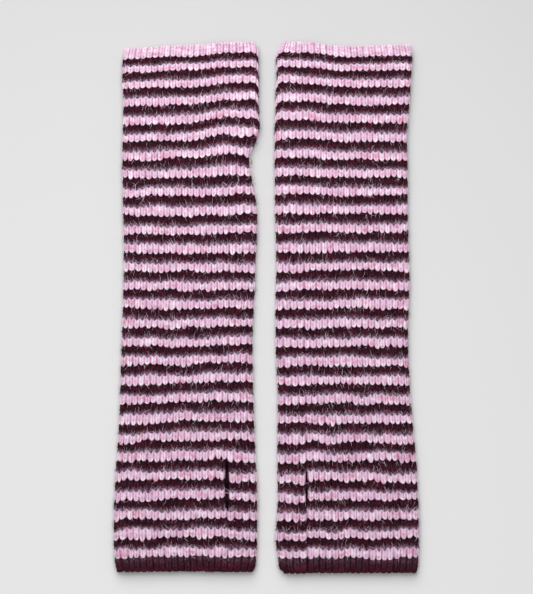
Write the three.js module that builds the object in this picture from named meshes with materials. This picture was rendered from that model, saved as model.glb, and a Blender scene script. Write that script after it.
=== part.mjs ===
import * as THREE from "three";

// A pair of long fingerless hand warmers, knitted in narrow stripes, lying flat side by side.
// Each is one flattened tube: a back layer on the surface, and on it a front layer that holds
// a seam with an open stretch for the thumb.
//
// Millimetres, +Z up. +Y points to the arm ends, the thumb sides face each other across x = 0,
// and the surface that the pair lies on is z = 0.

// Driving dimensions.
const overallLength = 380; // from the arm end to the hand end
const axisFromMiddle = 55.1; // each warmer's own axis, from the middle of the pair
const cloth = 3.2; // one layer of brushed rib knit
const hollow = 0.8; // the flat hollow between the two layers
const clearance = 0.3; // between pieces that are knitted or sewn together
const seamWidth = 2.0; // the seam's channel, which is also how far the thumb slit stands open
const seamSink = 0.5; // how far the seam lies below the ribs beside it
const armBand = 8.2; // the pink edge band at the arm end
const handBand = 11.7; // the burgundy edge band at the hand end
const rim = { inset: 0.9, reach: 1.6 }; // the rounding of the two free edges
const sectionSpacing = 13; // between the sections along a panel
const foldSteps = 3; // facets around each side fold

const foldRadius = cloth + (hollow - clearance) / 2;
const backCentre = foldRadius;
const frontCentre = foldRadius + clearance;

const pink = { color: "#e3bad1", roughness: 0.95, metalness: 0 };
const burgundy = { color: "#4a2433", roughness: 0.95, metalness: 0 };
const striped = { color: "#9a7386", roughness: 0.95, metalness: 0 }; // the two yarns' mean

// The outline, as distances from the warmer's own axis, at a distance from the arm end.
const leftOutline = [
  { fromArm: 0, outer: 45.0, inner: 48.5 },
  { fromArm: 4, outer: 45.9, inner: 49.5 },
  { fromArm: 10, outer: 47.2, inner: 49.8 },
  { fromArm: 45, outer: 47.2, inner: 50.2 },
  { fromArm: 66, outer: 47.4, inner: 49.6 },
  { fromArm: 73, outer: 47.7, inner: 45.5 },
  { fromArm: 80, outer: 48.0, inner: 42.8 },
  { fromArm: 90, outer: 48.3, inner: 42.0 },
  { fromArm: 100, outer: 48.0, inner: 44.5 },
  { fromArm: 112, outer: 47.6, inner: 47.3 },
  { fromArm: 160, outer: 47.0, inner: 47.7 },
  { fromArm: 215, outer: 48.4, inner: 45.5 },
  { fromArm: 275, outer: 50.5, inner: 46.8 },
  { fromArm: 335, outer: 54.0, inner: 49.1 },
  { fromArm: 357, outer: 54.0, inner: 48.7 },
  { fromArm: 370, outer: 53.0, inner: 48.0 },
  { fromArm: 376, outer: 52.0, inner: 47.0 },
  { fromArm: 380, outer: 50.5, inner: 44.8 },
];

const rightOutline = [
  { fromArm: 0, outer: 47.0, inner: 44.8 },
  { fromArm: 10, outer: 49.1, inner: 48.4 },
  { fromArm: 24, outer: 48.4, inner: 48.4 },
  { fromArm: 45, outer: 47.0, inner: 49.1 },
  { fromArm: 66, outer: 45.5, inner: 49.8 },
  { fromArm: 88, outer: 45.8, inner: 49.6 },
  { fromArm: 130, outer: 45.9, inner: 49.1 },
  { fromArm: 160, outer: 47.0, inner: 48.5 },
  { fromArm: 215, outer: 46.3, inner: 49.1 },
  { fromArm: 245, outer: 47.2, inner: 47.7 },
  { fromArm: 275, outer: 49.5, inner: 47.7 },
  { fromArm: 300, outer: 52.0, inner: 47.7 },
  { fromArm: 335, outer: 53.4, inner: 47.7 },
  { fromArm: 357, outer: 54.0, inner: 49.1 },
  { fromArm: 370, outer: 53.4, inner: 47.0 },
  { fromArm: 376, outer: 52.7, inner: 45.9 },
  { fromArm: 380, outer: 51.2, inner: 41.3 },
];

// How far a row of stitches lies towards the arm end, at the outer fold, the axis and the
// inner fold. Stations run along the warmer from its arm end.
const leftRise = [
  { station: 0, outer: 0, middle: 2.1, inner: 4.3 },
  { station: 70, outer: 0, middle: 1.6, inner: 4.3 },
  { station: 115, outer: 0, middle: 0, inner: 1.0 },
  { station: 375, outer: 0, middle: 0, inner: 0 },
];

const rightRise = [
  { station: 0, outer: 0.6, middle: 0, inner: 2.8 },
  { station: 70, outer: -0.6, middle: 0, inner: 1.2 },
  { station: 130, outer: 0, middle: 0, inner: 0 },
  { station: 377, outer: 0, middle: 0, inner: -0.6 },
];

// The seam's distance from the axis, towards the inner fold.
const leftSeam = [
  { station: 0, inward: 28.5 },
  { station: 180, inward: 28.5 },
  { station: 310, inward: 27.0 },
  { station: 375, inward: 27.5 },
];

const rightSeam = [
  { station: 0, inward: 29.9 },
  { station: 150, inward: 28.5 },
  { station: 310, inward: 26.5 },
  { station: 377, inward: 26.0 },
];

// Soft swells of the front layer. `across` runs from -1 at the outer fold to 1 at the inner one.
const leftSwells = [
  { station: 20, across: 0.4, height: 0.5, along: 25, aside: 0.5 },
  { station: 82, across: 0.7, height: 1.2, along: 20, aside: 0.3 },
  { station: 190, across: -0.4, height: 0.4, along: 50, aside: 0.4 },
  { station: 315, across: 0.8, height: 0.6, along: 35, aside: 0.25 },
];

const rightSwells = [
  { station: 55, across: 0.8, height: 0.9, along: 45, aside: 0.25 },
  { station: 200, across: -0.2, height: 0.4, along: 50, aside: 0.5 },
  { station: 315, across: 0.8, height: 0.7, along: 35, aside: 0.25 },
];

const warmers = [
  {
    name: "left",
    inwards: 1, // the direction from the outer fold to the inner one, along X
    armEnd: 185.7,
    handEnd: -188.6,
    slit: { from: 294, to: 329 },
    outline: smoothTable(leftOutline),
    rise: smoothTable(leftRise),
    seam: smoothTable(leftSeam),
    swells: leftSwells,
  },
  {
    name: "right",
    inwards: -1,
    armEnd: 187.2,
    handEnd: -189.4,
    slit: { from: 297, to: 329 },
    outline: smoothTable(rightOutline),
    rise: smoothTable(rightRise),
    seam: smoothTable(rightSeam),
    swells: rightSwells,
  },
];

// Reads a table as smooth curves over its first column, one for each of its other columns.
function smoothTable(rows) {
  const [position, ...columns] = Object.keys(rows[0]);
  const curve = new THREE.CubicInterpolant(
    rows.map((row) => row[position]),
    rows.flatMap((row) => columns.map((column) => row[column])),
    columns.length,
  );
  return (at) => {
    const values = curve.evaluate(at);
    return Object.fromEntries(columns.map((column, i) => [column, values[i]]));
  };
}

function swellHeight(warmer, station, across) {
  let height = 0;
  for (const swell of warmer.swells) {
    const along = (station - swell.station) / swell.along;
    const aside = (across - swell.across) / swell.aside;
    height += swell.height * Math.exp(-along * along - aside * aside);
  }
  return height;
}

// A point of the flattened tube. `across` is -1 to 1 on the flat of the layer, and goes on to
// -2 or 2 around the side fold. `depth` goes from 0 at the outer face to `cloth` at the inner.
function tubePoint(warmer, layer, station, across, depth) {
  const flat = THREE.MathUtils.clamp(across, -1, 1);
  const turn = (Math.abs(across) - Math.abs(flat)) * (Math.PI / 2);
  const rise = warmer.rise(station);
  const lift = THREE.MathUtils.lerp(rise.middle, flat < 0 ? rise.outer : rise.inner, Math.abs(flat));
  const y = warmer.armEnd - station + lift;

  const width = warmer.outline(overallLength / 2 - y);
  const reach = (across < 0 ? width.outer : width.inner) - foldRadius;
  const radius = foldRadius - depth;
  const inward = flat * reach + Math.sign(across) * radius * Math.sin(turn);
  const height = radius * Math.cos(turn);
  const swell = swellHeight(warmer, station, flat) * Math.cos(turn);
  const z = layer === "front" ? frontCentre + height + swell : backCentre - height;
  return new THREE.Vector3(warmer.inwards * (inward - axisFromMiddle), y, z);
}

// Where a line at a distance from the seam runs, in the units of `across`.
function besideSeam(warmer, station, distance) {
  const y = warmer.armEnd - station;
  const reach = warmer.outline(overallLength / 2 - y).inner - foldRadius;
  return (warmer.seam(station).inward + distance) / reach;
}

function evenly(from, to, steps) {
  return Array.from({ length: steps + 1 }, (_, i) => THREE.MathUtils.lerp(from, to, i / steps));
}

function sections(from, to) {
  return evenly(from, to, Math.max(1, Math.round((to - from) / sectionSpacing)));
}

// The columns across a whole layer, from fold to fold.
function wholeLayer() {
  const outerFold = evenly(-2, -1, foldSteps);
  const flat = evenly(-1, 1, 8).slice(1, -1);
  const innerFold = evenly(1, 2, foldSteps);
  return [...outerFold, ...flat, ...innerFold];
}

function outerFoldToSeam(warmer, station) {
  const outerFold = evenly(-2, -1, foldSteps);
  const flat = evenly(-1, besideSeam(warmer, station, -seamWidth / 2), 5).slice(1);
  return [...outerFold, ...flat];
}

function seamToInnerFold(warmer, station) {
  const flat = evenly(besideSeam(warmer, station, seamWidth / 2), 1, 2).slice(0, -1);
  const innerFold = evenly(1, 2, foldSteps);
  return [...flat, ...innerFold];
}

function seamStrip(warmer, station) {
  const half = seamWidth / 2 - clearance;
  return [besideSeam(warmer, station, -half), besideSeam(warmer, station, half)];
}

// A closed wall of cloth. Each section has a station, the depths of its two faces, and the
// columns that its points lie on.
function clothWall(warmer, layer, wallSections) {
  const face = (side) =>
    wallSections.map((section) =>
      section.columns.map((across) =>
        tubePoint(warmer, layer, section.station, across, section.depths[side]),
      ),
    );
  const facesOut = (layer === "front") === (warmer.inwards > 0);
  return solidBetween(face(0), face(1), facesOut);
}

// A closed solid between two grids of points. `facesOut` is true where the outer grid, seen
// from outside, has its columns to the right and its rows downwards.
function solidBetween(outer, inner, facesOut) {
  const rows = outer.length;
  const columns = outer[0].length;
  const out = (row, column) => row * columns + column;
  const into = (row, column) => (rows + row) * columns + column;
  const index = [];
  const quad = (a, b, c, d) => {
    const [first, last] = facesOut ? [b, d] : [d, b];
    index.push(a, first, c, a, c, last);
  };

  for (let r = 0; r + 1 < rows; r += 1) {
    for (let c = 0; c + 1 < columns; c += 1) {
      quad(out(r, c), out(r + 1, c), out(r + 1, c + 1), out(r, c + 1));
      quad(into(r, c), into(r, c + 1), into(r + 1, c + 1), into(r + 1, c));
    }
    const end = columns - 1;
    quad(out(r, 0), into(r, 0), into(r + 1, 0), out(r + 1, 0));
    quad(out(r, end), out(r + 1, end), into(r + 1, end), into(r, end));
  }
  for (let c = 0; c + 1 < columns; c += 1) {
    const end = rows - 1;
    quad(out(0, c), out(0, c + 1), into(0, c + 1), into(0, c));
    quad(out(end, c), into(end, c), into(end, c + 1), out(end, c + 1));
  }

  const geometry = new THREE.BufferGeometry();
  geometry.setFromPoints([...outer.flat(), ...inner.flat()]);
  geometry.setIndex(index);
  geometry.computeVertexNormals();
  return geometry;
}

function addPiece(group, warmer, name, geometry, look) {
  const mesh = new THREE.Mesh(geometry, new THREE.MeshStandardMaterial(look));
  mesh.name = `${warmer.name}_${name}`;
  group.add(mesh);
}

// A panel between the two bands, or a stretch of one.
function panel(warmer, layer, from, to, columnsAt, outerDepth = 0) {
  const wallSections = sections(from, to).map((station) => ({
    station,
    depths: [outerDepth, cloth],
    columns: columnsAt(warmer, station),
  }));
  return clothWall(warmer, layer, wallSections);
}

// A knitted band with its free edge rounded. `free` is the station of that edge.
function band(warmer, layer, free, joined) {
  const towardsPanel = Math.sign(joined - free);
  const rounded = { station: free, depths: [rim.inset, cloth - rim.inset / 2] };
  const full = { station: free + towardsPanel * rim.reach, depths: [0, cloth] };
  const end = { station: joined, depths: [0, cloth] };
  const wallSections = [rounded, full, end].map((section) => ({
    ...section,
    columns: wholeLayer(),
  }));
  wallSections.sort((a, b) => a.station - b.station);
  return clothWall(warmer, layer, wallSections);
}

function addWarmer(group, warmer) {
  const length = warmer.armEnd - warmer.handEnd;
  const half = clearance / 2;
  const start = armBand + half;
  const end = length - handBand - half;

  addPiece(group, warmer, "back_panel", panel(warmer, "back", start, end, wholeLayer), striped);
  addPiece(group, warmer, "front_panel", panel(warmer, "front", start, end, outerFoldToSeam), striped);
  addPiece(
    group,
    warmer,
    "thumb_side_panel",
    panel(warmer, "front", start, end, seamToInnerFold),
    striped,
  );
  addPiece(
    group,
    warmer,
    "seam_above_slit",
    panel(warmer, "front", start, warmer.slit.from, seamStrip, seamSink),
    burgundy,
  );
  addPiece(
    group,
    warmer,
    "seam_below_slit",
    panel(warmer, "front", warmer.slit.to, end, seamStrip, seamSink),
    burgundy,
  );
  for (const layer of ["front", "back"]) {
    const armEdge = band(warmer, layer, 0, armBand - half);
    const handEdge = band(warmer, layer, length, length - handBand + half);
    addPiece(group, warmer, `arm_edge_${layer}`, armEdge, pink);
    addPiece(group, warmer, `hand_edge_${layer}`, handEdge, burgundy);
  }
}

const group = new THREE.Group();
for (const warmer of warmers) {
  addWarmer(group, warmer);
}

export default group;
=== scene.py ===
import math

import bpy
import numpy as np
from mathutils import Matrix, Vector


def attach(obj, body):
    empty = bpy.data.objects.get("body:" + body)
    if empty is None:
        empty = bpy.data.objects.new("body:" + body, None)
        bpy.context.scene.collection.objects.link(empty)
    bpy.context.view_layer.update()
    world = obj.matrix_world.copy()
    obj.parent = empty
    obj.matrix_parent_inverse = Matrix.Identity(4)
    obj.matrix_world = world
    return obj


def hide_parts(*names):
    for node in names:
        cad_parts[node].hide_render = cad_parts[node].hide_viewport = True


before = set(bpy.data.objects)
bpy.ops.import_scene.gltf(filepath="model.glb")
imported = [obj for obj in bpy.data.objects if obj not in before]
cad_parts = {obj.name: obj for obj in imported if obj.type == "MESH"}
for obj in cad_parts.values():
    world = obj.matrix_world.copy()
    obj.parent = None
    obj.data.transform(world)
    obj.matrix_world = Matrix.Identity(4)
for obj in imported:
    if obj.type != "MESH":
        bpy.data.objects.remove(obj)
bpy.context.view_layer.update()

# A pair of long fingerless hand warmers in striped, brushed rib knit, lying flat side by side.
# Lengths are in millimetres until a mesh is made. A place on a warmer is a rib and a row: ribs
# count round the tube from the middle of the outer fold, rows from the arm end.

MM = 0.001

# The tube.
AXIS = 55.1  # each warmer's own axis, from the middle of the pair
HALF_LENGTH = 190.0
CLOTH = 3.2  # one layer
HALF_THICK = 3.6  # half of the flattened tube, and the radius of its side folds
QUARTER = HALF_THICK * math.pi / 2  # along a fold, from its middle to the flat
RIM = CLOTH / 2  # the radius of the rounded free edges

# The knit.
RIBS = 46  # all round
FOLD_RIB = 23.0  # the inner fold
SEAM_RIB = 18.5
MIDDLE_RIB = 11.8
INNER_RIB = 21.9
BACK_RIB = 34.0
FOLD_BLEND = 0.3  # how far past the inner fold the rows take their place on it
ROWS = 114
BAND_ROWS = 3  # in each edge band
STRIPE_ROWS = 2
RIB_WIDTH = 4.24
ROW_HEIGHT = 3.3

# How unevenly it is knitted: how far ribs, rows and single stitches stray, in ribs and rows.
RIB_STRAY = 0.06
ROW_STRAY = 0.13
STITCH_STRAY = 0.09
LOOSER = 0.8  # how much more it strays at the hand end than at the arm end
RIB_BEND = 6  # rows from one bend of a rib to the next
ROW_BEND = 3  # rows, and about as many ribs, from one bend of a row to the next
BENDS_ROUND = RIBS // ROW_BEND + 1
STITCH_SWELL = 0.2  # how much the heights of stitches differ

# The two legs of a stitch. They start apart at its top and meet at its bottom.
LEG_ROWS = 1.02
LEG_ASIDE_TOP = 0.30  # from the rib's middle, in ribs
LEG_ASIDE_BOTTOM = 0.13
LEG_HALF_WIDTH = 0.98
LEG_END = 0.95
LEG_HEIGHT = 0.85
LEG_TILT = 0.42  # how much a leg rises in a row
LEG_LEVEL = 0.95  # taken off, so that the legs' tops come to about the smooth face
VALLEY_DEPTH = 0.45  # between two ribs
GROOVE_DEPTH = 0.3  # between two legs
GROOVE_HALF_WIDTH = 0.35
LOWEST = -2.0
HIGHEST = 0.15

# The sewn seam: a low ridge of yarn bars, one to a row.
SEAM_HALF = 0.22  # in ribs
SEAM_TOP = -1.5
SEAM_DEEP = 1.2
SEAM_CROWN = 0.5
SEAM_NOTCH = 0.4  # between two bars
SEAM_COLUMNS = 7
SEAM_TURN = 1.3  # where the cloth beside it starts to turn down
SEAM_DIP = 0.4
SLIT_SPREAD = 1.3  # how far the slit's opening moves the ribs beside it, in ribs

# Loose brushed fibres.
HAIRS = 12000  # on each warmer
HAIR_POINTS = 5
HAIR_WIDTH = 0.12
HAIR_WIDTHS = (0.6, 1.4)  # the thinnest and the widest, as shares of that
HAIR_TAPER = 0.8
HAIR_LENGTHS = (1.5, 4.5)
BURGUNDY_LENGTH = 0.7  # as a share of a pink one's
HAIRS_TO_ARM = 0.7  # the share of them that point to the arm end
HAIR_HEADING = 0.4  # off the rib's direction, in radians
HAIR_CURL = 0.6
HAIR_ROOT = -0.35  # where it starts, in the relief
HAIR_HEIGHTS = (0.1, 0.6)
HAIR_ARCH = 2.4  # how far along a half-wave a hair gets, in radians
HAIR_AT_FOLD = 1.5  # how many of its heights more it stands at a side fold
HAIR_FOLD_REACH = 0.3  # how near to the fold that is, in ribs squared
HAIR_PAST_FOLD = 0.3  # the most that its run past a fold lifts it by, in ribs
HAIR_PAST_END = 0.3  # how far it follows the rim of a free edge, in rows
HAIR_LEVEL = 1.0  # its lift in the stitch coordinates, over any stitch's
HAIR_ASIDE = 0.2  # how far from a rib's middle its colour is taken, in ribs
SURE_COLOUR = 0.78  # how far into a row the colour is sure

# Mesh samples per rib and per row, and columns on the plain inner face.
FRONT_SAMPLES = (8, 6)
BACK_SAMPLES = (4, 4)
INNER_COLUMNS = 5

# Shares of the bake map: the faces of the cloth and of the seams across it, a hair in its cell.
OUTER_FACE = 0.9
INNER_FACE_START = 0.91
INNER_FACE = 0.08
SEAM_FACE_MIDDLE = 0.25
SEAM_FACE_HALF = 0.24
SEAM_UNDERSIDE = 0.5
HAIR_SIDES = (0.2, 0.8)
HAIR_START = 0.1
HAIR_RUN = 0.8

SEED = 20


class Table:
    """Rows with named columns, read as smooth curves over the first column."""

    def __init__(self, names, *rows):
        self.names = names.split()
        self.rows = np.array(rows, float)

    def read(self, name, at):
        x = self.rows[:, 0]
        y = self.rows[:, self.names.index(name)]
        slope = np.gradient(y, x)
        at = np.clip(at, x[0], x[-1])
        i = np.clip(np.searchsorted(x, at) - 1, 0, len(x) - 2)
        span = x[i + 1] - x[i]
        t = (at - x[i]) / span
        start = y[i] * (1 + 2 * t) * (1 - t) ** 2 + slope[i] * span * t * (1 - t) ** 2
        end = y[i + 1] * t**2 * (3 - 2 * t) + slope[i + 1] * span * t**2 * (t - 1)
        return start + end


# How far each row lies from the arm end.
STATIONS = Table(
    "row station",
    (0, 1.6),
    (3, 8.2),
    (27, 80.8),
    (55, 173.1),
    (83, 267.6),
    (111, 363.3),
    (114, 373.2),
)

# Distances of the side folds from the warmer's axis.
LEFT_OUTLINE = Table(
    "from_arm outer inner",
    (0, 45.0, 48.5),
    (4, 45.9, 49.5),
    (10, 47.2, 49.8),
    (45, 47.2, 50.2),
    (65, 47.4, 50.2),
    (70, 47.6, 48.6),
    (75, 47.8, 46.2),
    (81, 48.0, 43.6),
    (88, 48.3, 43.2),
    (99, 48.0, 45.2),
    (112, 47.6, 47.8),
    (160, 47.0, 47.7),
    (215, 48.4, 45.5),
    (275, 50.5, 46.8),
    (335, 54.0, 49.1),
    (357, 54.0, 48.7),
    (370, 53.0, 48.0),
    (376, 52.0, 47.0),
    (380, 50.5, 44.8),
)
RIGHT_OUTLINE = Table(
    "from_arm outer inner",
    (0, 47.0, 44.8),
    (10, 49.1, 48.4),
    (24, 48.4, 48.4),
    (45, 47.0, 49.1),
    (66, 45.5, 49.8),
    (88, 45.8, 49.6),
    (130, 45.9, 49.1),
    (160, 47.0, 48.5),
    (215, 46.3, 49.1),
    (245, 47.2, 47.7),
    (275, 49.5, 47.7),
    (300, 52.0, 47.7),
    (335, 53.4, 47.7),
    (357, 54.0, 49.1),
    (370, 53.4, 47.0),
    (376, 52.7, 45.9),
    (380, 51.2, 41.3),
)

# How far rows are drawn towards the arm end: at the outer fold, the axis, either side of the
# seam, just before the inner fold, and round it.
LEFT_RISE = Table(
    "station outer middle seam thumb inner fold",
    (0, -0.2, 2.1, 4.2, 4.2, 4.4, -0.5),
    (32, -0.6, 1.2, 3.9, 3.9, 4.4, -0.8),
    (55, -0.9, 0.6, 5.2, 5.2, 4.6, -0.5),
    (68, -0.1, 1.9, 6.2, 6.2, 4.8, 0.0),
    (80, -0.1, 1.9, 5.1, 5.1, 2.1, 0.0),
    (93, 0.2, 1.0, 2.3, 2.3, 1.5, 0.0),
    (115, 0.0, -0.2, 0.4, 0.4, 1.2, 0.5),
    (158, 0.0, 0.0, 0.0, 0.0, 0.0, 0.0),
    (198, 0.4, -0.4, 1.1, 1.1, 0.9, 0.5),
    (253, -0.8, 1.0, 2.1, 2.1, 1.7, 0.8),
    (281, -0.6, 1.3, 1.3, 1.3, 0.7, 0.0),
    (300, -0.6, 0.6, 0.9, -0.4, -0.6, -0.5),
    (325, -0.5, 0.3, 0.6, -0.8, -1.2, -1.0),
    (345, -0.4, 0.5, 0.2, -0.6, -1.1, -1.0),
    (375, 0.0, 0.5, 0.0, 0.0, 0.0, 0.0),
)
RIGHT_RISE = Table(
    "station outer middle seam thumb inner fold",
    (0, 0.9, 0.0, 3.0, 3.0, 2.8, -2.4),
    (32, 0.3, 0.0, 2.6, 2.6, 2.9, -2.8),
    (56, -0.4, 0.0, 1.9, 1.9, 1.4, -3.0),
    (82, -1.1, 0.0, 1.0, 1.0, 1.0, -1.0),
    (107, 0.1, 0.0, 0.9, 0.9, 0.6, 0.0),
    (134, 0.0, 0.0, 0.0, 0.0, 0.0, 0.0),
    (187, -0.9, 0.0, -0.5, -0.5, -0.9, -0.9),
    (240, -0.4, 0.0, -0.1, -0.1, -0.7, -0.7),
    (280, -0.8, 0.0, 0.2, -0.2, -0.7, -0.7),
    (300, -0.9, 0.0, 0.4, -1.2, -1.1, -1.1),
    (324, 0.0, 0.0, 0.0, -2.3, -0.8, -0.6),
    (351, 0.5, 0.0, 0.3, -0.9, -0.7, -0.7),
    (377, 0.0, 0.0, 0.0, -0.3, -0.3, -0.3),
)

# The seam's distance from the axis, and the rib that lies on the inner fold.
LEFT_SEAM = Table(
    "station inward fold_rib",
    (0, 28.5, 23.0),
    (60, 28.5, 23.0),
    (84, 28.5, 21.7),
    (112, 28.5, 22.6),
    (180, 28.5, 23.0),
    (310, 27.0, 23.0),
    (375, 27.5, 23.0),
)
RIGHT_SEAM = Table(
    "station inward fold_rib",
    (0, 29.9, 23.0),
    (150, 28.5, 23.0),
    (310, 26.5, 23.0),
    (377, 26.0, 23.0),
)

# Soft swells of the front layer; across runs from -1 at the outer fold to 1 at the inner one.
LEFT_SWELLS = (
    dict(station=20, across=0.4, height=0.5, along=25, aside=0.5),
    dict(station=82, across=0.7, height=1.2, along=20, aside=0.3),
    dict(station=190, across=-0.4, height=0.4, along=50, aside=0.4),
    dict(station=315, across=0.8, height=0.6, along=35, aside=0.25),
)
RIGHT_SWELLS = (
    dict(station=55, across=0.8, height=0.9, along=45, aside=0.25),
    dict(station=200, across=-0.2, height=0.4, along=50, aside=0.5),
    dict(station=315, across=0.8, height=0.7, along=35, aside=0.25),
)


class Warmer:
    """One of the pair: its place, outline, rows, seam and slit, and its own unevenness."""

    def __init__(self, name, inwards, ends, outline, rise, seam, swells, slit, seed):
        self.name = name
        self.inwards = inwards  # the direction of the inner fold along X
        self.arm_end, hand_end = ends
        self.stretch = (self.arm_end - hand_end - RIM) / STATIONS.rows[-1, 1]
        self.outline = outline
        self.rise = rise
        self.seam = seam
        self.swells = swells
        self.slit = slit  # first and last row, half the width it stands open, the thumb side's lap
        self.rng = np.random.default_rng(seed)
        self.rib_wander = self.rng.standard_normal((RIBS, ROWS // RIB_BEND + 3))
        self.row_wander = self.rng.standard_normal((BENDS_ROUND, ROWS // ROW_BEND + 3))
        self.stitch_shift = self.rng.standard_normal((RIBS, ROWS + 4))
        self.stitch_size = self.rng.standard_normal((RIBS, ROWS + 4))


LEFT = Warmer(
    "left", 1, (185.7, -188.6), LEFT_OUTLINE, LEFT_RISE, LEFT_SEAM, LEFT_SWELLS,
    dict(first=91.0, last=101.4, half_open=1.5, lap=0.0), SEED,
)
RIGHT = Warmer(
    "right", -1, (187.2, -189.4), RIGHT_OUTLINE, RIGHT_RISE, RIGHT_SEAM, RIGHT_SWELLS,
    dict(first=92.5, last=99.4, half_open=0.8, lap=0.5), SEED + 1,
)


def lattice(values, rib, row, rib_step=1.0, row_step=1.0):
    """Smooth noise between random values set on a grid that closes round the tube."""
    x = np.mod(rib, RIBS) / rib_step
    y = np.clip(row / row_step + 1, 0, values.shape[1] - 1.001)
    columns = values.shape[0]
    i = np.floor(x).astype(int)
    j = np.floor(y).astype(int)
    fx = x - i
    fy = y - j
    fx = fx * fx * (3 - 2 * fx)
    fy = fy * fy * (3 - 2 * fy)
    near = values[i % columns, j] * (1 - fx) + values[(i + 1) % columns, j] * fx
    far = values[i % columns, j + 1] * (1 - fx) + values[(i + 1) % columns, j + 1] * fx
    return near * (1 - fy) + far * fy


def knit_place(warmer, rib, row):
    """Where the yarn of a stitch has strayed to: the rib and row as knitted, not as lying."""
    looser = 1 + LOOSER * row / ROWS
    strayed_rib = rib + RIB_STRAY * looser * lattice(warmer.rib_wander, rib, row, 1, RIB_BEND)
    strayed_row = row + looser * (
        ROW_STRAY * lattice(warmer.row_wander, rib, row, RIBS / BENDS_ROUND, ROW_BEND)
        + STITCH_STRAY * lattice(warmer.stitch_shift, rib, row)
    )
    return strayed_rib, strayed_row


def relief(warmer, rib, row):
    """Height of the ribs and of the two legs of each stitch over the cloth's smooth face."""
    strayed_rib, strayed_row = knit_place(warmer, rib, row)
    side = np.abs(strayed_rib - np.round(strayed_rib))
    height = np.full(np.shape(rib), LOWEST)
    for above in (-1, 0, 1):
        below_top = strayed_row - (np.floor(strayed_row) - above)
        along = np.clip(below_top / LEG_ROWS, 0, 1)
        middle = LEG_ASIDE_TOP + (LEG_ASIDE_BOTTOM - LEG_ASIDE_TOP) * along
        aside = (side - middle) * RIB_WIDTH / LEG_HALF_WIDTH
        past = np.maximum(below_top - LEG_ROWS, 0) + np.maximum(-below_top, 0)
        past = past * ROW_HEIGHT / LEG_END
        leg = LEG_HEIGHT * (1 - aside**2 - past**2) + LEG_TILT * (below_top - 1)
        height = np.maximum(height, leg)
    swell = STITCH_SWELL * lattice(warmer.stitch_size, rib, row)
    valley = -VALLEY_DEPTH * (2 * side) ** 4
    groove = -GROOVE_DEPTH * np.exp(-((side * RIB_WIDTH / GROOVE_HALF_WIDTH) ** 2))
    return np.minimum(height - LEG_LEVEL + valley + groove + swell, HIGHEST)


def seam_round(rib):
    """How far the cloth turns down beside the seam."""
    away = np.abs(rib - SEAM_RIB) * RIB_WIDTH
    turn = np.clip(1 - away / SEAM_TURN, 0, 1)
    return -SEAM_DIP * (1 - np.sqrt(np.maximum(1 - turn**2, 0)))


def slit_opening(warmer, row):
    """Half the width that the seam stands open at a row."""
    slit = warmer.slit
    along = (row - slit["first"]) / (slit["last"] - slit["first"])
    inside = np.clip(1 - (2 * along - 1) ** 2, 0, 1)
    return slit["half_open"] * np.sqrt(inside)


def near_seam(rib):
    """How much of the slit's opening a rib takes part in, from 0 to 1."""
    return np.exp(-(((rib - SEAM_RIB) / SLIT_SPREAD) ** 2))


def drawn_up(warmer, rib, station, on_thumb):
    """How far a place is drawn towards the arm end."""
    rise = warmer.rise.read
    outer = rise("outer", station)
    fold = rise("fold", station)
    front = [outer, rise("middle", station), rise("seam", station)]
    front_knots = np.array([0, MIDDLE_RIB, SEAM_RIB])
    thumb = [rise("thumb", station), rise("inner", station), fold, (fold + outer) / 2, outer]
    thumb_knots = np.array([SEAM_RIB, INNER_RIB, FOLD_RIB + FOLD_BLEND, BACK_RIB, RIBS])
    return np.where(
        on_thumb, blend_knots(thumb_knots, thumb, rib), blend_knots(front_knots, front, rib)
    )


def path_round(warmer, rib, row, station, outward, front_length, on_thumb):
    """How far round the tube a rib lies, from the middle of the outer fold."""
    seam_path = QUARTER + outward - HALF_THICK + warmer.seam.read("inward", station)
    fold_rib = warmer.seam.read("fold_rib", station)
    to_seam = rib / SEAM_RIB * seam_path
    past_seam = (rib - SEAM_RIB) / (fold_rib - SEAM_RIB) * (front_length - seam_path)
    past_fold = front_length * (1 + (rib - fold_rib) / (RIBS - fold_rib))
    path = np.where(rib <= fold_rib, seam_path + past_seam, past_fold)
    path = np.where(rib <= SEAM_RIB, to_seam, path)
    return path + slit_opening(warmer, row) * near_seam(rib) * np.where(on_thumb, 1, -1)


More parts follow.
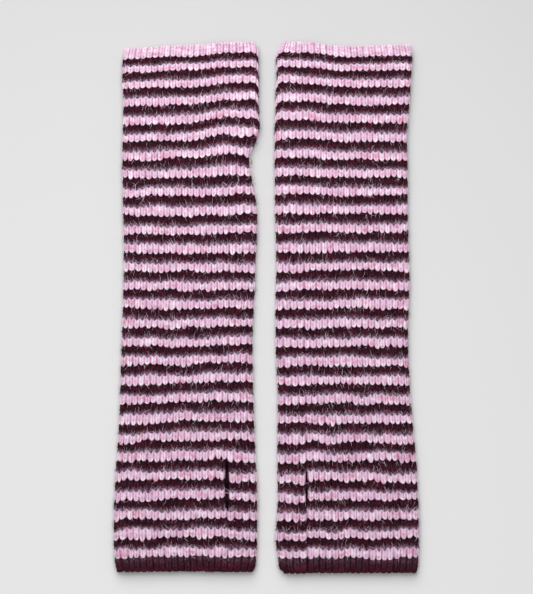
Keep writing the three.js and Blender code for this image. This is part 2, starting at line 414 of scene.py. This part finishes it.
def place(warmer, rib, row, lift=0.0, thumb_side=None):
    """Points of a warmer, in millimetres, lifted off its smooth face along the face's normal.

    thumb_side says which side of the seam the points belong to. None goes by their ribs."""
    rib, row, lift = np.broadcast_arrays(
        np.asarray(rib, float), np.asarray(row, float), np.asarray(lift, float)
    )
    station = STATIONS.read("station", row) * warmer.stretch
    on_thumb = rib > SEAM_RIB if thumb_side is None else np.full(rib.shape, thumb_side)
    y = warmer.arm_end - station + drawn_up(warmer, rib, station, on_thumb)

    from_arm = HALF_LENGTH - y
    outward = warmer.outline.read("outer", from_arm)
    inward = warmer.outline.read("inner", from_arm)
    front_length = outward + inward - 2 * HALF_THICK + 2 * QUARTER
    path = path_round(warmer, rib, row, station, outward, front_length, on_thumb)

    # Round the flattened tube: over the front, and back under it.
    on_back = path > front_length
    along = np.where(on_back, 2 * front_length - path, path)
    outer_turn = np.clip(along / HALF_THICK, 0, math.pi / 2)
    inner_turn = np.clip((front_length - along) / HALF_THICK, 0, math.pi / 2)
    turn = np.minimum(outer_turn, inner_turn)
    sideways = np.cos(turn) * np.where(along < front_length / 2, -1, 1)
    flat = np.clip(along - QUARTER, 0, front_length - 2 * QUARTER)
    aside = flat - (outward - HALF_THICK) + sideways * HALF_THICK
    up = np.sin(turn) * np.where(on_back, -1, 1)

    across = np.where(aside < 0, aside / outward, aside / inward)
    swell = swell_height(warmer, station, across) * np.sin(turn) * ~on_back
    lap = warmer.slit["lap"] * slit_opening(warmer, row) / warmer.slit["half_open"]
    swell = swell + lap * near_seam(rib) * on_thumb * np.sin(turn)

    # Round the free edges. Rows past an end lie on its rim.
    past = np.maximum(-row, 0) + np.maximum(row - ROWS, 0)
    round_over = past * math.pi
    end = np.where(row < 0, 1, -1) * np.sin(round_over)
    out = (RIM + lift) * np.cos(round_over) - RIM
    x = warmer.inwards * (aside + sideways * out - AXIS)
    y = y + end * (RIM + lift)
    z = np.maximum(HALF_THICK + up * (HALF_THICK + out) + swell, 0)
    return np.stack([x, y, z], axis=-1)


def blend_knots(knots, values, at):
    """Values at knots, joined by smooth steps. Each value may itself be an array."""
    result = np.broadcast_to(values[0], at.shape).astype(float)
    for i in range(len(knots) - 1):
        t = np.clip((at - knots[i]) / (knots[i + 1] - knots[i]), 0, 1)
        t = t * t * (3 - 2 * t)
        result = result + (values[i + 1] - values[i]) * t
    return result


def swell_height(warmer, station, across):
    """How far the front layer swells up at a place."""
    height = np.zeros(np.shape(station))
    for swell in warmer.swells:
        along = (station - swell["station"]) / swell["along"]
        aside = (across - swell["across"]) / swell["aside"]
        height = height + swell["height"] * np.exp(-(along**2) - aside**2)
    return height


# ---- meshes ----


def new_piece(name, points, faces, stitch, bake_map, material):
    """A mesh object from points in millimetres, with its stitch coordinates and bake map."""
    mesh = bpy.data.meshes.new(name)
    mesh.from_pydata((points * MM).tolist(), [], faces)
    mesh.update()
    attribute = mesh.attributes.new("stitch", "FLOAT_VECTOR", "POINT")
    attribute.data.foreach_set("vector", stitch.astype(np.float32).ravel())
    corners = np.zeros(len(mesh.loops), np.int32)
    mesh.loops.foreach_get("vertex_index", corners)
    layer = mesh.uv_layers.new(name="OFBake")
    layer.uv.foreach_set("vector", bake_map[corners].astype(np.float32).ravel())
    mesh.shade_smooth()
    mesh.materials.append(material)
    piece = bpy.data.objects.new(name, mesh)
    bpy.context.scene.collection.objects.link(piece)
    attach(piece, "root")
    return piece


def grid_faces(index, flip):
    """Quads over a grid of vertex numbers."""
    a = index[:-1, :-1].ravel()
    b = index[1:, :-1].ravel()
    c = index[1:, 1:].ravel()
    d = index[:-1, 1:].ravel()
    order = (a, d, c, b) if flip else (a, b, c, d)
    return np.stack(order, axis=-1).tolist()


def ladder_faces(fine, coarse, flip):
    """Triangles between two lines of vertices that have different counts."""
    faces = []
    i = j = 0
    while i < len(fine) - 1 or j < len(coarse) - 1:
        fine_next = (i + 1) / (len(fine) - 1)
        coarse_next = (j + 1) / (len(coarse) - 1)
        if j == len(coarse) - 1 or (i < len(fine) - 1 and fine_next <= coarse_next):
            face = (fine[i], fine[i + 1], coarse[j])
            i += 1
        else:
            face = (fine[i], coarse[j + 1], coarse[j])
            j += 1
        faces.append(face[::-1] if flip else face)
    return [[int(v) for v in face] for face in faces]


def knit_piece(warmer, name, ribs, rows, samples, material, thumb_side):
    """A closed piece of cloth: the knitted outer face, the plain inner face and its edges."""
    columns = np.linspace(*ribs, round((ribs[1] - ribs[0]) * samples[0]) + 1)
    lines = np.linspace(*rows, round((rows[1] - rows[0]) * samples[1]) + 1)
    rib, row = np.meshgrid(columns, lines)
    lift = relief(warmer, rib, row) + seam_round(rib)
    outer = place(warmer, rib, row, lift, thumb_side)

    inner_columns = np.linspace(*ribs, INNER_COLUMNS)
    inner_rows = np.clip(lines, 0, ROWS)
    inner_rib, inner_row = np.meshgrid(inner_columns, inner_rows)
    inner = place(warmer, inner_rib, inner_row, -CLOTH, thumb_side)

    count = outer.shape[0] * outer.shape[1]
    outer_index = np.arange(count).reshape(outer.shape[:2])
    inner_index = count + np.arange(inner.shape[0] * inner.shape[1]).reshape(inner.shape[:2])
    flip = warmer.inwards < 0
    faces = grid_faces(outer_index, flip)
    faces += grid_faces(inner_index, not flip)
    sides = np.stack([outer_index[:, 0], inner_index[:, 0]], axis=1)
    faces += grid_faces(sides, not flip)
    sides = np.stack([outer_index[:, -1], inner_index[:, -1]], axis=1)
    faces += grid_faces(sides, flip)
    faces += ladder_faces(outer_index[0], inner_index[0], flip)
    faces += ladder_faces(outer_index[-1], inner_index[-1], not flip)

    strayed_rib, strayed_row = knit_place(warmer, rib, row)
    outer_stitch = np.stack([strayed_rib, strayed_row, lift], axis=-1)
    inner_stitch = np.stack([inner_rib, inner_row, np.full(inner_rib.shape, -CLOTH)], axis=-1)
    u = np.concatenate([(rib - ribs[0]).ravel(), (inner_rib - ribs[0]).ravel()])
    v = np.concatenate([(row - rows[0]).ravel(), (inner_row - rows[0]).ravel()])
    bake_map = np.stack([u / (ribs[1] - ribs[0]), v / (rows[1] - rows[0])], axis=-1)
    bake_map[:count, 0] *= OUTER_FACE
    bake_map[count:, 0] = INNER_FACE_START + INNER_FACE * bake_map[count:, 0]
    points = np.concatenate([outer.reshape(-1, 3), inner.reshape(-1, 3)])
    stitch = np.concatenate([outer_stitch.reshape(-1, 3), inner_stitch.reshape(-1, 3)])
    return new_piece(f"{warmer.name}_{name}_knit", points, faces, stitch, bake_map, material)


def seam_piece(warmer, name, rows, material):
    """A closed ridge of small yarn bars, sunk between the two sides that it joins."""
    columns = np.linspace(SEAM_RIB - SEAM_HALF, SEAM_RIB + SEAM_HALF, SEAM_COLUMNS)
    lines = np.linspace(*rows, round((rows[1] - rows[0]) * FRONT_SAMPLES[1]) + 1)
    rib, row = np.meshgrid(columns, lines)
    across = (rib - SEAM_RIB) / SEAM_HALF
    between_bars = 1 - np.abs(np.sin(math.pi * row))
    lift = SEAM_TOP - SEAM_CROWN * across**2 - SEAM_NOTCH * between_bars
    upper = place(warmer, rib, row, lift)
    lower = place(warmer, rib, row, SEAM_TOP - SEAM_DEEP)

    count = rib.size
    upper_index = np.arange(count).reshape(rib.shape)
    lower_index = upper_index + count
    flip = warmer.inwards < 0
    faces = grid_faces(upper_index, flip) + grid_faces(lower_index, not flip)
    for edge, turned in ((0, not flip), (-1, flip)):
        sides = np.stack([upper_index[:, edge], lower_index[:, edge]], axis=1)
        faces += grid_faces(sides, turned)
        ends = np.stack([upper_index[edge], lower_index[edge]], axis=1)
        faces += grid_faces(ends, not turned)
    stitch = np.stack([rib, row, lift], axis=-1).reshape(-1, 3)
    u = SEAM_FACE_MIDDLE + SEAM_FACE_HALF * across
    v = (row - rows[0]) / (rows[1] - rows[0])
    bake_map = np.stack([u, v], axis=-1).reshape(-1, 2)
    points = np.concatenate([upper.reshape(-1, 3), lower.reshape(-1, 3)])
    return new_piece(
        f"{warmer.name}_{name}_yarn",
        points,
        faces,
        np.concatenate([stitch, stitch]),
        np.concatenate([bake_map, bake_map + [SEAM_UNDERSIDE, 0.0]]),
        material,
    )


def is_pink_row(row):
    """Whether a row is knitted in pink."""
    whole = np.floor(row)
    in_repeat = np.mod(whole - BAND_ROWS, 2 * STRIPE_ROWS)
    in_stripe = (in_repeat >= STRIPE_ROWS) & (whole <= ROWS - STRIPE_ROWS)
    return in_stripe | (whole < BAND_ROWS)


def hair_paths(warmer, root_rib, root_row, along):
    """Points along every hair. It leaves the cloth, arches over it and stands out at the folds."""
    rng = warmer.rng
    share = np.where(is_pink_row(root_row), 1.0, BURGUNDY_LENGTH)
    length = rng.uniform(*HAIR_LENGTHS, (HAIRS, 1)) * share
    towards = np.where(rng.random((HAIRS, 1)) < HAIRS_TO_ARM, -1, 1)  # -1 is the arm end
    heading = rng.normal(0, HAIR_HEADING, (HAIRS, 1))
    angle = heading + rng.normal(0, HAIR_CURL, (HAIRS, 1)) * along
    step = length / (HAIR_POINTS - 1)
    rib = root_rib + np.cumsum(np.sin(angle), axis=1) * step / RIB_WIDTH
    row = root_row + towards * np.cumsum(np.cos(angle), axis=1) * step / ROW_HEIGHT

    fold_rib = warmer.seam.read("fold_rib", STATIONS.read("station", row) * warmer.stretch)
    past_fold = np.maximum(-rib, 0) + np.maximum(rib - fold_rib, 0)
    past_end = np.maximum(-row, 0) + np.maximum(row - ROWS, 0)
    past_end = np.maximum(past_end - HAIR_PAST_END, 0)
    to_fold = np.maximum(np.minimum(rib, fold_rib - rib), 0)
    height = rng.uniform(*HAIR_HEIGHTS, (HAIRS, 1))
    lift = HAIR_ROOT + (height - HAIR_ROOT) * np.sin(HAIR_ARCH * along)
    lift = lift + HAIR_AT_FOLD * height * along * np.exp(-(to_fold**2) / HAIR_FOLD_REACH)
    lift = lift + np.minimum(past_fold, HAIR_PAST_FOLD) * RIB_WIDTH + past_end * ROW_HEIGHT
    rib = np.clip(rib, 0, fold_rib)
    row = np.clip(row, -HAIR_PAST_END, ROWS + HAIR_PAST_END)
    return place(warmer, rib, row, lift)


def fuzz_piece(warmer, material):
    """Loose fibres over the front, past the folds and past the ends, as thin tapered ribbons."""
    rng = warmer.rng
    root_rib = rng.uniform(0, FOLD_RIB, (HAIRS, 1))
    root_row = rng.uniform(0, ROWS, (HAIRS, 1))
    along = np.linspace(0, 1, HAIR_POINTS)
    middle = hair_paths(warmer, root_rib, root_row, along)

    aside = np.cross(np.gradient(middle, axis=1), (0, 0, 1))
    aside = aside / (np.linalg.norm(aside, axis=-1, keepdims=True) + 1e-6)
    half = HAIR_WIDTH / 2 * rng.uniform(*HAIR_WIDTHS, (HAIRS, 1)) * (1 - HAIR_TAPER * along)
    reach = aside * half[..., None]
    points = np.stack([middle - reach, middle + reach], axis=2)

    shape = (HAIRS, HAIR_POINTS, 2)
    index = np.arange(HAIRS * HAIR_POINTS * 2).reshape(shape)
    corners = (index[:, :-1, 0], index[:, :-1, 1], index[:, 1:, 1], index[:, 1:, 0])
    faces = np.stack(corners, axis=-1).reshape(-1, 4).tolist()

    # A hair has its root's colour all along.
    colour_rib = np.round(root_rib) + rng.uniform(-HAIR_ASIDE, HAIR_ASIDE, (HAIRS, 1))
    colour_row = np.floor(root_row) + SURE_COLOUR
    stitch = np.empty((*shape, 3))
    stitch[..., 0] = colour_rib[..., None]
    stitch[..., 1] = colour_row[..., None]
    stitch[..., 2] = HAIR_LEVEL

    # Each hair has a cell of the bake map.
    cells = math.ceil(math.sqrt(HAIRS))
    number = np.arange(HAIRS)[:, None, None]
    bake_map = np.empty((*shape, 2))
    bake_map[..., 0] = (number % cells + np.array(HAIR_SIDES)) / cells
    bake_map[..., 1] = (number // cells + HAIR_START + HAIR_RUN * along[:, None]) / cells
    return new_piece(
        f"{warmer.name}_fuzz",
        points.reshape(-1, 3),
        faces,
        stitch.reshape(-1, 3),
        bake_map.reshape(-1, 2),
        material,
    )


# ---- materials ----


def srgb(red, green, blue):
    """A colour given as 0 to 255 in sRGB, as a linear colour with alpha."""
    values = np.array([red, green, blue]) / 255
    linear = np.where(values <= 0.04045, values / 12.92, ((values + 0.055) / 1.055) ** 2.4)
    return (*linear.tolist(), 1.0)


class Shader:
    """Short names for making a material's nodes."""

    def __init__(self, name):
        self.material = bpy.data.materials.new(name)
        self.material.use_nodes = True
        self.tree = self.material.node_tree
        self.surface = self.tree.nodes["Principled BSDF"]

    def link(self, value, socket):
        if isinstance(value, bpy.types.NodeSocket):
            self.tree.links.new(value, socket)
        else:
            socket.default_value = value

    def math(self, operation, *values):
        """The output of a math node. Values are numbers or other nodes' outputs."""
        node = self.tree.nodes.new("ShaderNodeMath")
        node.operation = operation
        for value, socket in zip(values, node.inputs):
            self.link(value, socket)
        return node.outputs[0]

    def product(self, first, *others):
        for other in others:
            first = self.math("MULTIPLY", first, other)
        return first

    def mix(self, factor, first, second, blend="MIX"):
        """The first colour where the factor is 0, the second where it is 1."""
        node = self.tree.nodes.new("ShaderNodeMix")
        node.data_type = "RGBA"
        node.blend_type = blend
        self.link(factor, node.inputs["Factor"])
        self.link(first, node.inputs[6])
        self.link(second, node.inputs[7])
        return node.outputs[2]

    def ramp(self, value, start, end, at_start=0.0, at_end=1.0, kind="SMOOTHSTEP"):
        """A value that runs from at_start to at_end as another runs from start to end."""
        node = self.tree.nodes.new("ShaderNodeMapRange")
        node.interpolation_type = kind
        for item, socket in zip((value, start, end, at_start, at_end), node.inputs):
            self.link(item, socket)
        return node.outputs[0]

    def vector(self, x, y, z):
        node = self.tree.nodes.new("ShaderNodeCombineXYZ")
        for value, socket in zip((x, y, z), node.inputs):
            self.link(value, socket)
        return node.outputs[0]

    def noise(self, vector, scale, detail, roughness, distortion):
        node = self.tree.nodes.new("ShaderNodeTexNoise")
        self.link(vector, node.inputs["Vector"])
        node.inputs["Scale"].default_value = scale
        node.inputs["Detail"].default_value = detail
        node.inputs["Roughness"].default_value = roughness
        node.inputs["Distortion"].default_value = distortion
        return node.outputs[0]

    def attribute(self, name):
        node = self.tree.nodes.new("ShaderNodeAttribute")
        node.attribute_name = name
        split = self.tree.nodes.new("ShaderNodeSeparateXYZ")
        self.tree.links.new(node.outputs["Vector"], split.inputs[0])
        return split.outputs

    def bump(self, height, strength, distance):
        node = self.tree.nodes.new("ShaderNodeBump")
        node.inputs["Strength"].default_value = strength
        node.inputs["Distance"].default_value = distance
        self.link(height, node.inputs["Height"])
        return node.outputs[0]


PINK = srgb(235, 200, 225)
PINK_ROSE = srgb(228, 158, 186)
PINK_WHITE = srgb(254, 240, 250)
LILAC = srgb(228, 212, 236)
PINK_SHADOW = srgb(205, 152, 182)
BURGUNDY = srgb(66, 17, 33)
BURGUNDY_RED = srgb(94, 24, 44)
BURGUNDY_DARK = srgb(22, 4, 10)
BURGUNDY_SHADOW = srgb(120, 96, 106)
MAUVE = srgb(146, 112, 136)
MAUVE_DARK = srgb(104, 68, 88)
MAUVE_LIGHT = srgb(168, 142, 168)
WHITE = srgb(255, 255, 255)
FLOOR_AT_ARM = srgb(198, 198, 198)
FLOOR_AT_HAND = srgb(240, 240, 240)

# Noises in the stitch coordinates, stretched across the ribs and along the rows, and the layer
# that each is read in.
NOISES = dict(
    fringe=dict(across=16.0, along=1.0, layer=0.0, scale=1.6, detail=3.0, roughness=0.6, distortion=0.0),
    patch=dict(across=0.45, along=1.0, layer=0.0, scale=0.75, detail=3.0, roughness=0.55, distortion=0.0),
    streak=dict(across=26.0, along=1.0, layer=3.0, scale=1.3, detail=3.0, roughness=0.65, distortion=0.4),
    speckle=dict(across=9.0, along=5.0, layer=7.0, scale=1.5, detail=4.0, roughness=0.7, distortion=0.6),
    tone=dict(across=1.0, along=0.6, layer=11.0, scale=1.1, detail=2.0, roughness=0.5, distortion=0.0),
)

# The heathering of each yarn: between which values a noise brings in a colour, and how much.
PINK_FIBRES = (
    dict(noise="patch", start=0.50, end=0.66, most=0.9, colour=PINK_ROSE),
    dict(noise="tone", start=0.47, end=0.63, most=0.9, colour=PINK_WHITE),
    dict(noise="streak", start=0.50, end=0.72, most=0.7, colour=PINK_WHITE),
    dict(noise="speckle", start=0.56, end=0.72, most=0.6, colour=PINK_ROSE),
)
BURGUNDY_FIBRES = (
    dict(noise="patch", start=0.45, end=0.65, most=1.0, colour=BURGUNDY_RED),
    dict(noise="speckle", start=0.55, end=0.35, most=0.85, colour=BURGUNDY_DARK),
)
BURGUNDY_HAIRS = (dict(noise="streak", start=0.54, end=0.74, most=0.5, colour=MAUVE),)

# The edges between the stripes, in rows.
STITCH_SHIFT = -0.16
SCALLOP = 0.58  # how much nearer the arm end an edge is in a valley than at a rib's middle
SCALLOP_POWER = 1.8
PINK_LATE = 0.25  # how much later the pink starts than the stitches' row
HAND_BAND = ROWS - BAND_ROWS


def heather(shader, colour, fibres, noises):
    """A yarn's colour with fibres of other colours, each brought in by a noise."""
    for each in fibres:
        amount = shader.ramp(noises[each["noise"]], each["start"], each["end"], 0.0, each["most"])
        colour = shader.mix(amount, colour, each["colour"])
    return colour


class Stripes:
    """Where a place lies among the stripes. Their edges are scalloped, and the pink's start frays.

    Counted from the arm end, each repeat is a burgundy stripe and then a pink one."""

    def __init__(self, shader, row, side, fringe):
        repeat = 2 * STRIPE_ROWS
        scallop = shader.product(shader.math("POWER", side, SCALLOP_POWER), SCALLOP)
        stitch_row = shader.math("ADD", shader.math("ADD", row, STITCH_SHIFT), scallop)
        from_band = shader.math("SUBTRACT", stitch_row, BAND_ROWS)
        self.unfrayed = shader.math("FLOORED_MODULO", from_band, repeat)

        from_pink_start = shader.math("SUBTRACT", self.unfrayed, STRIPE_ROWS)
        from_pink_start = shader.math("ABSOLUTE", from_pink_start)
        fray = shader.ramp(from_pink_start, start=0.6, end=1.4, at_start=1.0, at_end=0.14)
        fray = shader.product(shader.math("SUBTRACT", fringe, 0.5), fray)
        self.row = shader.math("ADD", stitch_row, fray)
        from_band = shader.math("SUBTRACT", self.row, BAND_ROWS)
        self.in_repeat = shader.math("FLOORED_MODULO", from_band, repeat)

        self.in_pink_half = shader.math("GREATER_THAN", self.in_repeat, STRIPE_ROWS + PINK_LATE)
        before_band = shader.math("LESS_THAN", self.row, HAND_BAND + 0.5)
        in_arm_band = shader.math("LESS_THAN", self.row, BAND_ROWS)
        in_stripe = shader.product(self.in_pink_half, before_band)
        self.is_pink = shader.math("MAXIMUM", in_stripe, in_arm_band)


def pink_yarn(shader, noises, stripes):
    """Pale pink with rosier and whiter fibres, more lilac where a stripe starts."""
    colour = heather(shader, PINK, PINK_FIBRES, noises)
    starting = shader.ramp(
        stripes.in_repeat,
        start=STRIPE_ROWS + 0.1,
        end=STRIPE_ROWS + 1.0,
        at_start=0.7,
        at_end=0.0,
    )
    return shader.mix(shader.product(starting, stripes.in_pink_half), colour, LILAC)


def burgundy_yarn(shader, noises, stripes):
    """Dark burgundy, with painted shade where a stripe starts, under the lower edges of the pink
    stitches. Paler hairs lie on its end and on the band.
    """
    colour = heather(shader, BURGUNDY, BURGUNDY_FIBRES, noises)
    # Painted shade under the lower edges of the pink stitches: darkest at the stripe's start.
    starting = shader.ramp(stripes.unfrayed, 0.0, STRIPE_ROWS, at_start=0.5, at_end=0.0)
    colour = shader.mix(starting, colour, BURGUNDY_DARK)
    colour = heather(shader, colour, BURGUNDY_HAIRS, noises)

    above_band = shader.math("LESS_THAN", stripes.row, HAND_BAND)
    ending = shader.ramp(stripes.unfrayed, STRIPE_ROWS - 0.7, STRIPE_ROWS, at_end=0.75)
    tufts = shader.ramp(noises["fringe"], start=0.38, end=0.62)
    colour = shader.mix(shader.product(ending, above_band, tufts), colour, MAUVE_LIGHT)

    in_band = shader.math("GREATER_THAN", stripes.row, HAND_BAND)
    band_start = shader.ramp(stripes.row, HAND_BAND, ROWS - 0.8, at_start=0.7, at_end=0.0)
    strands = shader.ramp(noises["streak"], start=0.44, end=0.64)
    return shader.mix(shader.product(band_start, in_band, strands), colour, MAUVE)


def shaded(shader, yarn, is_pink, side, depth):
    """The yarn with painted shade: darker low in the relief, in the valleys and between two legs."""
    # Painted shade: the colour darkens where the relief is low, near the valleys and in the groove
    # between the legs.
    raised = shader.ramp(depth, start=-2.0, end=-0.4, kind="LINEAR")
    off_valley = shader.ramp(side, start=0.80, end=1.0, at_start=1.0, at_end=0.55)
    off_groove = shader.ramp(side, start=0.0, end=0.22, at_start=0.55, at_end=1.0)
    shade = shader.product(raised, off_valley, off_groove)
    shadow = shader.mix(is_pink, BURGUNDY_SHADOW, PINK_SHADOW)
    return shader.mix(1.0, yarn, shader.mix(shade, shadow, WHITE), "MULTIPLY")


def striped_yarn():
    """Brushed, heathered yarn in two colours, set by the rib and row of each stitch."""
    shader = Shader("striped_yarn")
    rib, row, depth = shader.attribute("stitch")
    from_middle = shader.math("SUBTRACT", rib, shader.math("ROUND", rib))
    side = shader.product(shader.math("ABSOLUTE", from_middle), 2.0)  # 0 to 1, in the valley
    noises = {}
    for name, noise in NOISES.items():
        place_in = shader.vector(
            shader.product(rib, noise["across"]), shader.product(row, noise["along"]), noise["layer"]
        )
        noises[name] = shader.noise(
            place_in, noise["scale"], noise["detail"], noise["roughness"], noise["distortion"]
        )

    stripes = Stripes(shader, row, side, noises["fringe"])
    is_pink = stripes.is_pink
    pink = pink_yarn(shader, noises, stripes)
    burgundy = burgundy_yarn(shader, noises, stripes)
    colour = shaded(shader, shader.mix(is_pink, burgundy, pink), is_pink, side, depth)

    # Loose hairs are paler, and the inside of the tube is painted dark as shade.
    hair = shader.mix(is_pink, MAUVE_DARK, PINK_WHITE)
    colour = shader.mix(shader.ramp(depth, start=0.3, end=0.6, at_end=0.45), colour, hair)
    # Painted shade: the inner faces, lowest in the stitch depth, turn dark burgundy.
    inside = shader.ramp(depth, start=-3.0, end=-2.4, at_start=0.97, at_end=0.0)
    colour = shader.mix(inside, colour, BURGUNDY_DARK)

    surface = shader.surface.inputs
    shader.link(colour, surface["Base Color"])
    surface["Roughness"].default_value = 0.92
    surface["Specular IOR Level"].default_value = 0.05
    surface["Sheen Weight"].default_value = 0.03
    surface["Sheen Roughness"].default_value = 0.6
    fibres = shader.math("ADD", shader.product(noises["streak"], 0.6), noises["speckle"])
    shader.link(shader.bump(fibres, strength=0.5, distance=0.0006), surface["Normal"])
    return shader.material


def floor_material():
    """Plain paper, a little darker where the light is stronger."""
    shader = Shader("floor")
    coordinates = shader.tree.nodes.new("ShaderNodeTexCoord")
    split = shader.tree.nodes.new("ShaderNodeSeparateXYZ")
    shader.tree.links.new(coordinates.outputs["Object"], split.inputs[0])
    towards_arm = shader.ramp(split.outputs[1], -FLOOR_FADE, FLOOR_FADE, kind="LINEAR")
    colour = shader.mix(towards_arm, FLOOR_AT_HAND, FLOOR_AT_ARM)
    shader.link(colour, shader.surface.inputs["Base Color"])
    shader.surface.inputs["Roughness"].default_value = 0.9
    return shader.material


# ---- building ----

# Places and sizes in metres.
FLOOR_REACH = 3.0
FLOOR_FADE = 0.25
LIGHTS = (
    dict(name="key", at=(-0.12, 0.56, 0.78), size=1.0, power=9.6),
    dict(name="overhead", at=(0, 0, 2.0), size=1.6, power=8.5),
)
AMBIENT = 0.29
SENSOR_MM = 36
CAMERA_HEIGHT = 2.4  # over the upper side
UPPER_SIDE = 0.007
VIEW_LENGTH = 0.4227
VIEW_MIDDLE = 0.0078


def build_warmer(warmer, material):
    """Every piece of one warmer, in place of its CAD nodes."""
    top, bottom = BAND_ROWS, ROWS - BAND_ROWS
    knit, pink, burgundy = "striped_knit", "pink_yarn", "burgundy_yarn"
    layout = (
        ("front_panel", (0, SEAM_RIB), (top, bottom), FRONT_SAMPLES, False, knit),
        ("thumb_side_panel", (SEAM_RIB, FOLD_RIB), (top, bottom), FRONT_SAMPLES, True, knit),
        ("back_panel", (FOLD_RIB, RIBS), (top, bottom), BACK_SAMPLES, True, knit),
        ("arm_edge_front", (0, FOLD_RIB), (-1, top), FRONT_SAMPLES, None, pink),
        ("arm_edge_back", (FOLD_RIB, RIBS), (-1, top), BACK_SAMPLES, None, pink),
        ("hand_edge_front", (0, FOLD_RIB), (bottom, ROWS + 1), FRONT_SAMPLES, None, burgundy),
        ("hand_edge_back", (FOLD_RIB, RIBS), (bottom, ROWS + 1), BACK_SAMPLES, None, burgundy),
    )
    fuzz = fuzz_piece(warmer, material)
    for name, ribs, rows, samples, thumb_side, slot in layout:
        piece = knit_piece(warmer, name, ribs, rows, samples, material, thumb_side)
        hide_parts(f"{warmer.name}_{name}")

    seams = (
        ("seam_above_slit", (top, warmer.slit["first"])),
        ("seam_below_slit", (warmer.slit["last"], bottom)),
    )
    for name, rows in seams:
        piece = seam_piece(warmer, name, rows, material)
        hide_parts(f"{warmer.name}_{name}")


def add_light(name, at, size, power):
    """A square light aimed at the middle of the pair."""
    data = bpy.data.lights.new(name, "AREA")
    data.size = size
    data.energy = power
    light = bpy.data.objects.new(name, data)
    light.location = at
    light.rotation_euler = (-Vector(at)).to_track_quat("-Z", "Y").to_euler()
    bpy.context.scene.collection.objects.link(light)


def build_studio():
    """The surface that the pair lies on, its lights and an even surrounding glow."""
    edge = FLOOR_REACH
    floor_mesh = bpy.data.meshes.new("floor")
    corners = [(-edge, -edge, 0), (edge, -edge, 0), (edge, edge, 0), (-edge, edge, 0)]
    floor_mesh.from_pydata(corners, [], [(0, 1, 2, 3)])
    floor_mesh.materials.append(floor_material())
    floor = bpy.data.objects.new("floor", floor_mesh)
    bpy.context.scene.collection.objects.link(floor)

    for light in LIGHTS:
        add_light(**light)
    world = bpy.data.worlds.new("studio")
    world.use_nodes = True
    background = world.node_tree.nodes["Background"]
    background.inputs["Color"].default_value = WHITE
    background.inputs["Strength"].default_value = AMBIENT
    bpy.context.scene.world = world


def build_camera():
    """A camera straight above the pair, from far enough for nearly parallel rays."""
    data = bpy.data.cameras.new("camera")
    data.sensor_width = SENSOR_MM
    data.lens = SENSOR_MM * CAMERA_HEIGHT / VIEW_LENGTH
    camera = bpy.data.objects.new("camera", data)
    camera.location = (0, VIEW_MIDDLE, CAMERA_HEIGHT + UPPER_SIDE)
    bpy.context.scene.collection.objects.link(camera)
    bpy.context.scene.camera = camera


yarn = striped_yarn()
for each in (LEFT, RIGHT):
    build_warmer(each, yarn)
build_studio()
build_camera()
bpy.context.scene.view_settings.view_transform = "Standard"

bpy.context.view_layer.update()
